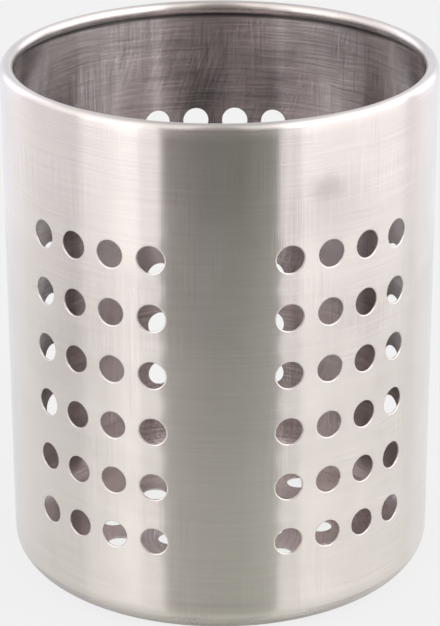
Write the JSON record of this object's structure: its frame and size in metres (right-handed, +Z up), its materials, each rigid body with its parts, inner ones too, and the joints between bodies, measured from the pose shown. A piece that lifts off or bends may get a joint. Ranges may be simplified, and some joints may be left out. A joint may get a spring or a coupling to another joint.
{
  "type": "cutlery holder",
  "caption": "Round upright cup of thin perforated stainless sheet with an inward-rolled rim and a drained flat base, for standing cutlery or utensils in to drain.",
  "frame": {"origin": "centre of the underside of the base, on the surface that the holder stands on", "axes": "+Z up along the cup's axis, -Y towards the front blank strip between two punched panels, +X to the right seen from the front"},
  "size_m": [0.12, 0.12, 0.1465],
  "materials": {
    "brushed_sheet": "satin stainless, brushed round the body",
    "dressed_weld": "weld ground flush and brushed with the sheet"
  },
  "bodies": {
    "root": {"perforated_wall": "brushed_sheet", "base_pan": "brushed_sheet", "side_seam_weld": "dressed_weld", "base_weld": "dressed_weld"}
  },
  "joints": []
}
